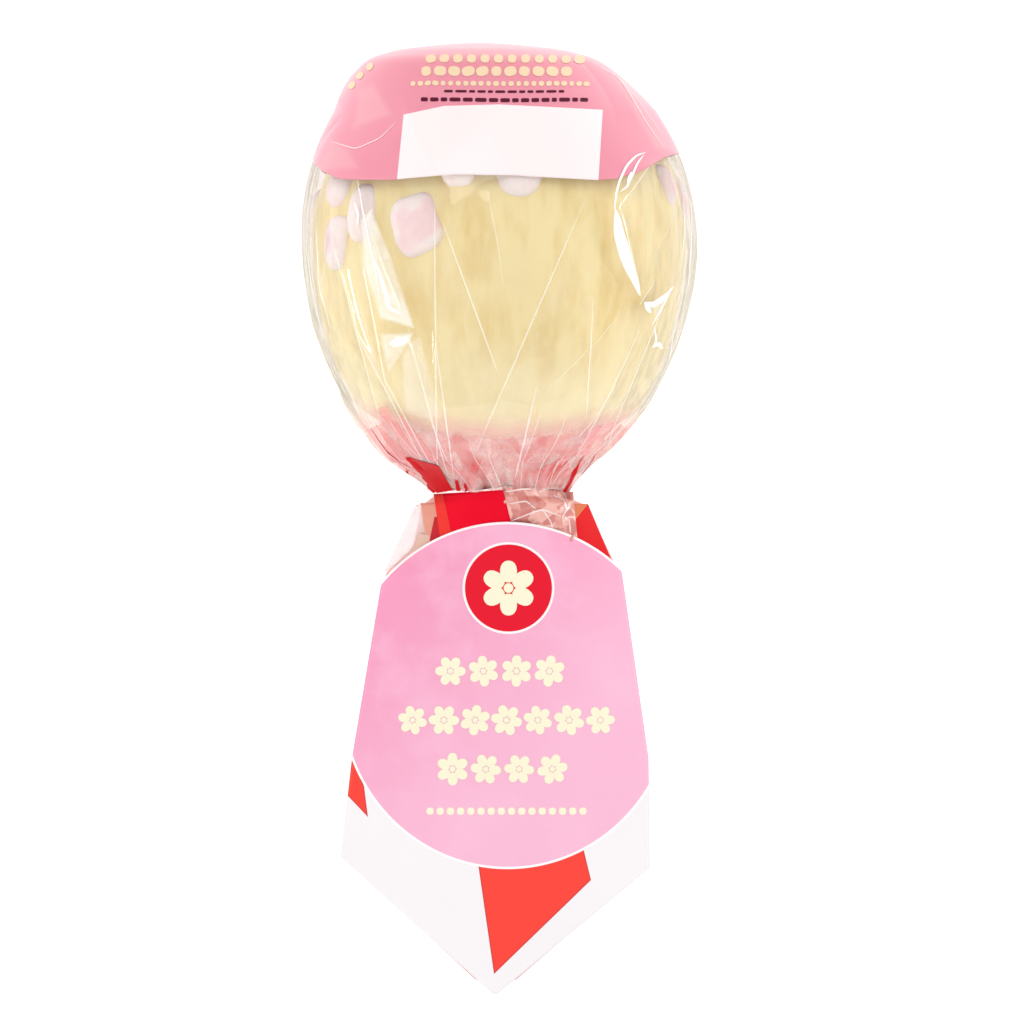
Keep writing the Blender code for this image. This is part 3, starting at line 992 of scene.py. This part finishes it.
def panel_points(side):
    """The tail's printed panel on this side, cut along the disc's upper edge.

    Where a row's ends are depends on its heights and these on its ends, so a few rounds settle both.
    """
    rows, columns, rounds = 150, 90, 12
    v, u = shares(rows, columns)
    y = -60.0 - 80.0 * v
    for _ in range(rounds):
        left = np.where(y < HEM[0][1], HEM[0][0], np.minimum(along(TAIL_LEFT, y), PANEL_CORNERS[0]))
        right = np.where(y < HEM[2][1], HEM[2][0], np.maximum(along(TAIL_RIGHT, y), PANEL_CORNERS[1]))
        x = left + (right - left) * u
        y = disc_top(x) + (hem(x) - disc_top(x)) * v
    return panel_surface(x, y, side)


def add_tail_panels():
    """The tail's two printed panels, front and back, which meet at the folded sides."""
    finish = tail_print()
    for name, side in (("tail_front", 1), ("tail_back", -1)):
        panel = add_grid(name, panel_points(side), finish)
        give_thickness(panel, 0.2)
        if side > 0:
            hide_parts("printed_tail")


def tail_sheet(corners, side, top_lift, low_lift):
    """A four-cornered piece of film laid on the gathered tail."""
    rows, columns = 16, 20
    x, y = four_cornered(corners, rows, columns)
    down = np.linspace(0.0, 1.0, rows)[:, None]
    z = tail_depth(x, y) + top_lift * (1 - down) + low_lift * down
    z = z + 0.1 * ripple(np.stack([x, y, 0 * x], axis=-1), 7.0, 21)
    return np.stack([x, y, side * z], axis=-1)


def add_tail_core():
    """The gathered film inside the tail, which shows above the panels and holds them apart."""
    rows, columns, top, bottom = 90, 200, -49.0, -146.0
    y = np.linspace(top, bottom, rows)[:, None]
    angle = all_round(columns)
    left, right = along(TAIL_LEFT, y) + 0.5, along(TAIL_RIGHT, y) - 0.5
    middle, half = 0.5 * (left + right), 0.5 * (right - left)
    across = np.cos(angle)
    pleats = np.abs(np.sin(8.0 * across * math.pi / 2 + 0.6 * np.sin(3 * across))) - 0.6
    fine = np.abs(np.sin(19.0 * across + 1.3)) - 0.6
    fade = smooth(-90.0, -50.0, y) * (1.0 - across**4)
    x = middle + half * across
    depth = 0.78 * tail_depth(x, y * np.ones_like(x)) - 0.5 + (0.9 * pleats + 0.4 * fine) * fade
    z = np.maximum(depth, 0.15) * np.sign(np.sin(angle)) * smooth(0.0, 0.12, np.abs(np.sin(angle)))
    points = np.stack([x, y * np.ones_like(x), z], axis=-1)
    points[..., 2] += 0.2 * ripple(points, 5.0, 31) * fade
    add_grid("tail_core", points, gathered_pink(), True, True, True)


def add_neck_gather():
    """The crumpled film below the apple, which follows the clear film's pleats from within."""
    rows, columns, top = 120, 380, -33.5
    run = np.linspace(float(run_at(top)), RUN_LENGTH, rows)[:, None]
    angle = all_round(columns)
    height = profile_at(run)[1]
    wander = 0.8 * np.sin(2 * angle + 0.3 + 0.05 * height) + 0.5 * np.sin(5 * angle + 1.9)
    pleats = np.abs(np.sin(11 * angle + wander))
    fine = np.abs(np.sin(27 * angle - wander + 0.12 * height))
    drawn = smooth(-38.0, -47.0, height)
    inwards = 0.35 + 3.6 * smooth(-42.0, -35.5, height) + 0.7 * drawn * pleats + (0.25 + 0.25 * drawn) * fine
    points = film_points(angle, run, -inwards)
    crumple = np.abs(ripple(points, 3.6, 33)) + 0.6 * np.abs(ripple(points, 1.9, 34))
    points[..., 0] -= 0.45 * crumple * np.cos(angle)
    points[..., 2] -= 0.45 * crumple * np.sin(angle)
    add_grid("neck_gather", points, gathered_pink(), True, False, True)


# Pieces of the printed film that fold over the neck: four corners seen from the front, in mm, and how far the
# piece stands off the tail at its top and at its lower edge, where the panels cover it.
NECK_SHEETS = {
    "tan": ([(-15.9, -56.6), (-13.9, -57.0), (-13.0, -60.4), (-17.8, -60.8)], -0.3, -0.5),
    "salmon": ([(-15.7, -50.6), (-12.6, -50.6), (-11.4, -59.6), (-14.4, -59.2)], -0.2, -0.4),
    "dark": ([(-12.9, -53.4), (-11.4, -53.6), (-11.0, -59.8), (-14.2, -59.6)], -0.1, -0.3),
    "strap": ([(-13.1, -48.8), (0.8, -48.0), (3.0, -56.8), (-11.4, -60.0)], 0.5, -0.3),
    "strap_lit_side": ([(-13.1, -48.8), (-11.2, -48.7), (-9.0, -59.0), (-11.4, -60.0)], 0.6, -0.2),
    "red": ([(14.2, -50.8), (17.8, -50.8), (23.6, -64.6), (13.4, -60.0)], -0.4, -0.4),
    "corner": ([(13.8, -50.7), (17.8, -50.8), (14.9, -54.4), (13.8, -54.9)], -0.2, -0.2),
}
NECK_COLOURS = {
    "tan": (0.78, 0.52, 0.42),
    "salmon": (0.78, 0.34, 0.25),
    "dark": (0.55, 0.02, 0.03),
    "strap": (0.86, 0.0, 0.02),
    # The strap's folded side is a real fold. Its lighter, more orange red than the strap's is painted light
    # on that fold.
    "strap_lit_side": (0.86, 0.04, 0.03),
    "red": (0.80, 0.015, 0.02),
    "corner": (0.75, 0.22, 0.10),
}
WHITE_SHOULDER = [(-16.6, -51.0), (-14.6, -50.6), (-13.0, -58.6), (-23.0, -64.4)]


def add_neck_sheet(name, corners, top_lift, low_lift, finish):
    """One fold of printed film between the neck and the tail's panels, alike on the front and the back."""
    sheets = [tail_sheet(corners, side, top_lift, low_lift) for side in (1, -1)]
    give_thickness(add_patches(f"neck_{name}", sheets, finish), SHEET)


def add_neck_sheets():
    """The folds of printed film, and one of nearly clear film at the left shoulder."""
    shoulder = sheer("white_shoulder_film", (1.0, 0.98, 0.98), 0.22, 0.04)
    add_neck_sheet("white", WHITE_SHOULDER, -0.5, -0.6, shoulder)
    for name, (corners, top_lift, low_lift) in NECK_SHEETS.items():
        roughness = 0.6 if name.startswith("strap") else 0.45
        finish = plain_print(f"{name}_film", NECK_COLOURS[name], roughness)
        add_neck_sheet(name, corners, top_lift, low_lift, finish)


CRUMPLE_CORNERS = [(0.6, -47.2), (14.8, -48.4), (16.0, -61.0), (1.8, -57.1)]


def crumple_points(side):
    """A crumpled strip of clear film across the neck, beside the strap."""
    rows, columns, folds = 60, 80, 26
    x, y = four_cornered(CRUMPLE_CORNERS, rows, columns)
    down = np.linspace(0.0, 1.0, rows)[:, None]
    points = np.stack([x, y, tail_depth(x, y) + 0.6 - 1.3 * down], axis=-1)
    facets = np.zeros_like(x)
    draw = np.random.default_rng(SEED + 5)
    for _ in range(folds):
        px, py = draw.uniform(0, 15), draw.uniform(-59, -47)
        way = draw.uniform(0, math.pi)
        away = np.abs((x - px) * math.cos(way) + (y - py) * math.sin(way))
        reach = np.hypot(x - px, y - py)
        facet = draw.uniform(-0.7, 0.7) * np.exp(-away / draw.uniform(0.5, 1.4))
        facets += facet * np.exp(-((reach / 4.5) ** 2))
    points[..., 2] += facets * smooth(1.0, 0.75, down)
    points[..., 2] *= side
    return points


# Pale fold lines of the crumpled strip, partly the film's own whitening and partly painted highlights on the
# folds, as places seen from the front, in mm.
CRUMPLE_GLINT_LINES = [
    [(1.0, -48.4), (5.0, -47.8), (13.4, -47.6)],
    [(2.4, -54.2), (8.6, -51.8), (12.6, -53.4)],
    [(8.6, -51.8), (10.4, -54.4), (11.0, -57.2)],
    [(2.0, -50.8), (5.4, -50.2), (7.4, -51.8)],
    [(12.8, -48.4), (14.2, -51.2), (12.6, -53.2), (13.4, -56.4)],
    [(10.8, -49.0), (13.0, -50.0), (13.6, -52.0)],
    [(4.4, -56.6), (8.2, -54.8)],
    [(14.0, -53.6), (14.4, -57.6)],
]


def neck_line(places):
    """A narrow strip along places on the front of the neck's crumpled film."""
    count = 30
    x, y = soft_line(places, count)
    way_x, way_y = np.gradient(x), np.gradient(y)
    half = 0.13 * np.sin(math.pi * np.linspace(0.0, 1.0, count)) ** 0.5 + 0.02
    across = half / np.hypot(way_x, way_y)
    sides = []
    for side in (-1, 1):
        u, v = x - side * across * way_y, y + side * across * way_x
        z = tail_depth(u, v) + 1.3 - 1.3 * (-47.6 - v) / 10.0
        sides.append(np.stack([u, v, z], axis=-1))
    return np.stack(sides, axis=1)


def add_neck_crumple():
    """The crumpled strips, and the pale lines of their folds on the front, which are partly painted
    highlights.
    """
    add_patches("neck_crumple", [crumple_points(side) for side in (1, -1)], crumpled_film())
    # Pale lines on the folds: partly the film's whitening, partly painted highlights.
    folds = [neck_line(places) for places in CRUMPLE_GLINT_LINES]
    add_patches("neck_crumple_glint_lines", folds, sheer("crumple_glint_white", (1.0, 0.95, 0.93), 0.6, 0.06))


# Generic marks in place of print


def mark_points(middle, size, tip, place, rows, columns, power=0.8):
    """A rounded mark, from round at power 1 to square below it, laid on a surface by place(x, y)."""
    share = np.linspace(0.0, 1.0, rows)[:, None]
    angle = np.linspace(0.0, 2 * math.pi, columns)[None, :]
    u = share * squared(np.cos(angle), power) * size[0] / 2
    v = share * squared(np.sin(angle), power) * size[1] / 2
    turned = math.radians(tip)
    x = middle[0] + u * math.cos(turned) - v * math.sin(turned)
    y = middle[1] + u * math.sin(turned) + v * math.cos(turned)
    return place(x, y)


def on_tail(side, layers=1.0):
    """Places a mark on the tail's panel, over this many layers of marks."""
    return lambda x, y: panel_surface(x, y, side, layers * MARK_LIFT)


def on_cap(x, y):
    """Places a mark on the front of the cap."""
    return film_points(angle_at(x, y), run_at(y), CAP_LIFT + 2.5 * MARK_LIFT)


# Rows of flowers on the tail's disc: (middle height, left, right, how many, size).
FLOWER_ROWS = [(-84.2, -13.0, 13.4, 4, 6.3), (-94.0, -20.4, 23.4, 7, 6.0), (-103.8, -12.6, 14.0, 4, 6.3)]
BEAD_ROW = (-112.2, -14.8, 17.8, 16, 1.5)
ROUNDEL_MIDDLE = (1.9, -67.6)
ROUNDEL_RADIUS = 8.7
ROUNDEL_FLOWER = 11.0
DASH_GAP = 0.45
CAP_BEAD_ROWS = [(38.3, -15.0, 17.6, 12, 2.1), (35.7, -16.0, 15.0, 11, 2.4), (33.2, -18.0, 18.4, 24, 1.2)]
CAP_SIDE_BEADS = [(-29.6, 33.0), (-28.0, 35.0), (-26.0, 36.8)]
CAP_DASH_ROWS = [(31.6, -11.0, 13.4, 0.5), (29.9, -15.6, 18.0, 0.8)]


def in_a_row(left, right, count):
    """The middles of count equal shares of the way from left to right."""
    return [left + (right - left) * (n + 0.5) / count for n in range(count)]


def flower(middle, size, turned, side, layer=1.0):
    """Six petals round a bead, with every other petal a little over its neighbours."""
    petals = 6
    marks = [mark_points(middle, (0.18 * size,) * 2, 0.0, on_tail(side, layer), 3, 14, 1.0)]
    for n in range(petals):
        place = on_tail(side, layer + 0.7 * (n % 2))
        angle = turned + 2 * math.pi * n / petals
        petal = (middle[0] + 0.30 * size * math.cos(angle), middle[1] + 0.30 * size * math.sin(angle))
        marks.append(mark_points(petal, (0.40 * size, 0.31 * size), math.degrees(angle), place, 5, 18, 0.9))
    return marks


def add_tail_marks():
    """Plain marks where the print was: cream flowers and beads in rows, and a red roundel with petals."""
    draw = random.Random(SEED + 7)
    cream, rims, discs = [], [], []
    for side in (1, -1):
        for height, left, right, count, size in FLOWER_ROWS:
            for x in in_a_row(left, right, count):
                grown = size * draw.uniform(0.95, 1.06)
                cream += flower((x, height), grown, draw.uniform(0.0, math.pi), side)
        height, left, right, count, size = BEAD_ROW
        for x in in_a_row(left, right, count):
            cream.append(mark_points((x, height), (size, size), 0.0, on_tail(side), 3, 14))
        around = (2 * ROUNDEL_RADIUS + 1.0,) * 2
        across = (2 * ROUNDEL_RADIUS,) * 2
        rims.append(mark_points(ROUNDEL_MIDDLE, around, 0.0, on_tail(side), 10, 60, 1.0))
        discs.append(mark_points(ROUNDEL_MIDDLE, across, 0.0, on_tail(side, 2.0), 10, 60, 1.0))
        cream += flower(ROUNDEL_MIDDLE, ROUNDEL_FLOWER, math.pi / 6, side, 3.0)
    add_patches("tail_cream_marks", cream, plain_print("cream_print", (0.93, 0.88, 0.66), variation=0.03))
    add_patches("tail_roundel_rim", rims, plain_print("white_rim", (0.94, 0.90, 0.90), variation=0.02))
    add_patches("tail_roundel", discs, plain_print("roundel_red", (0.80, 0.010, 0.030), variation=0.06))


def add_cap_marks():
    """Plain cream beads and short dark dashes in rows on the cap."""
    draw = random.Random(SEED + 8)
    beads, dashes = [], []
    for height, left, right, count, size in CAP_BEAD_ROWS:
        for x in in_a_row(left, right, count):
            bead = (size * draw.uniform(0.8, 1.15), size * 0.85)
            beads.append(mark_points((x, height), bead, draw.uniform(-15.0, 15.0), on_cap, 3, 12))
    beads += [mark_points(middle, (1.3, 1.7), -35.0, on_cap, 3, 12) for middle in CAP_SIDE_BEADS]
    for height, left, right, high in CAP_DASH_ROWS:
        x = left
        while x < right:
            wide = draw.uniform(0.9, 2.4)
            dashes.append(mark_points((x + wide / 2, height), (wide, high), 0.0, on_cap, 3, 12, 0.4))
            x += wide + DASH_GAP
    add_patches("cap_cream_marks", beads, plain_print("cap_cream", (0.88, 0.66, 0.44), variation=0.05))
    add_patches("cap_dark_marks", dashes, plain_print("cap_dark_print", (0.10, 0.01, 0.03), 0.5, 0.1))


# Wedges of red print on the film near the neck, as four corners seen from the front, in mm, clockwise.
RED_WEDGES = [
    [(-18.8, -41.6), (-11.9, -43.1), (-10.8, -45.4), (-15.0, -45.4)],
    [(-15.0, -45.4), (-10.8, -45.4), (-8.9, -48.8), (-13.4, -48.8)],
    [(-8.7, -45.8), (-8.1, -45.8), (-7.5, -48.6), (-8.5, -48.6)],
    [(-6.9, -46.4), (-6.5, -46.4), (-5.8, -48.6), (-6.6, -48.6)],
    [(16.2, -42.4), (17.4, -41.2), (13.2, -48.0), (12.4, -48.6)],
]
RED_EDGES = [
    [(-25.6, -35.8), (-23.8, -38.4), (-21.2, -41.2), (-18.6, -43.4)],
    [(-20.0, -42.8), (-16.6, -45.8), (-13.6, -48.4)],
    [(19.6, -40.4), (16.4, -44.4), (13.2, -48.2)],
]
PINK_WEDGES = [
    [(-26.4, -36.2), (-24.4, -35.0), (-15.6, -44.2), (-17.6, -46.0)],
    [(-24.6, -32.0), (-22.8, -31.4), (-14.6, -41.8), (-17.2, -42.2)],
    [(-20.6, -33.4), (-19.4, -33.2), (-11.6, -42.6), (-13.6, -42.6)],
    [(-5.0, -41.8), (-3.4, -41.8), (-5.4, -48.6), (-7.6, -48.6)],
    [(6.0, -44.6), (13.0, -41.0), (15.0, -44.6), (7.6, -48.0)],
    [(17.6, -36.6), (22.6, -34.4), (17.8, -41.0), (15.0, -42.0)],
]


def wedge_patches(wedges, extra):
    """Four-cornered patches on the film, on its front and, turned round, on its back."""
    patches = []
    for corners in wedges:
        x, y = four_cornered(corners, 40, 30)
        for front in (True, False):
            patches.append(film_points(angle_at(x if front else -x, y, front), run_at(y), extra))
    return patches


def add_red_wedges():
    """Where the film's print reaches up from the neck: strong red, and paler where it is stretched thin."""
    strong = plain_print("wedge_red", (0.66, 0.004, 0.01), 0.35, 0.3)
    add_patches("neck_red_wedges", wedge_patches(RED_WEDGES, 0.14), strong)
    edges = [glint_strip(places, 0.5) for places in RED_EDGES]
    add_patches("neck_red_edges", edges, plain_print("edge_red", (0.45, 0.01, 0.02), 0.4, 0.2))
    thin = sheer("wedge_pink", (0.84, 0.18, 0.17), 0.5, 0.1)
    add_patches("neck_pink_wedges", wedge_patches(PINK_WEDGES, 0.04), thin)


def set_stage():
    """A plain pale floor, soft light and the camera."""
    floor = put_in_scene("floor", bpy.data.meshes.new("floor"))
    corners = [(x * FLOOR_REACH, y * FLOOR_REACH, 0.0) for x, y in ((-1, -1), (1, -1), (1, 1), (-1, 1))]
    floor.data.from_pydata(corners, [], [(0, 1, 2, 3)])
    pale = Nodes("pale_floor")
    pale.set(Base_Color=(0.9, 0.9, 0.9), Roughness=0.9, Emission_Color=WHITE, Emission_Strength=0.45)
    floor.data.materials.append(pale.owner)

    studio = Nodes("studio", bpy.data.worlds, "Background")
    clouds = studio.add("ShaderNodeTexNoise", Scale=2.6, Detail=1.0).outputs["Fac"]
    bands = studio.add("ShaderNodeMapRange", Value=clouds, From_Min=0.35, From_Max=0.65)
    studio.fill(bands, {"To Min": 0.78, "To Max": 1.17})
    studio.set(Color=WHITE, Strength=bands.outputs[0])
    bpy.context.scene.world = studio.owner

    aim = LIE @ Vector((0.0, -0.02, 0.0))
    lamps = [
        ("right_strip", (0.60, 0.06, 0.12), (0.40, 0.03), 12.0),
        ("left_strip", (-0.60, -0.20, 0.08), (0.30, 0.03), 12.0),
        ("overhead", (-0.15, 0.55, 0.75), (0.60, 0.40), 1.5),
    ]
    for name, place, (wide, high), radiance in lamps:
        lamp = bpy.data.lights.new(name, "AREA")
        lamp.shape = "RECTANGLE"
        lamp.size, lamp.size_y = wide, high
        lamp.energy = radiance * math.pi * wide * high
        held = put_in_scene(name, lamp)
        held.location = LIE @ Vector(place)
        held.rotation_euler = (held.location - aim).to_track_quat("Z", "Y").to_euler()

    camera = bpy.data.cameras.new("camera")
    camera.sensor_width = SENSOR
    camera.lens = SENSOR * CAMERA_DISTANCE / (IMAGE_PIXELS * MM_PER_PIXEL)
    camera.clip_end = 100.0
    eye = put_in_scene("camera", camera)
    middle_x = (IMAGE_PIXELS / 2 - BALL_PIXEL[0]) * MM_PER_PIXEL
    middle_y = (BALL_PIXEL[1] - IMAGE_PIXELS / 2) * MM_PER_PIXEL
    eye.matrix_world = LIE @ Matrix.Translation(Vector((middle_x, middle_y, CAMERA_DISTANCE)) * MM)
    bpy.context.scene.camera = eye


def set_look():
    """Colours as they are, and enough bounces to see through film over film."""
    scene = bpy.context.scene
    scene.view_settings.view_transform = "Standard"
    scene.view_settings.look = "None"
    scene.cycles.transparent_max_bounces = 16


add_apple()
add_chocolate()
add_marshmallows()
add_film()
add_crease_lines()
add_glints()
add_cap()
add_tail_core()
add_neck_gather()
add_neck_sheets()
add_neck_crumple()
add_tail_panels()
add_tail_marks()
add_cap_marks()
add_red_wedges()
set_stage()
set_look()
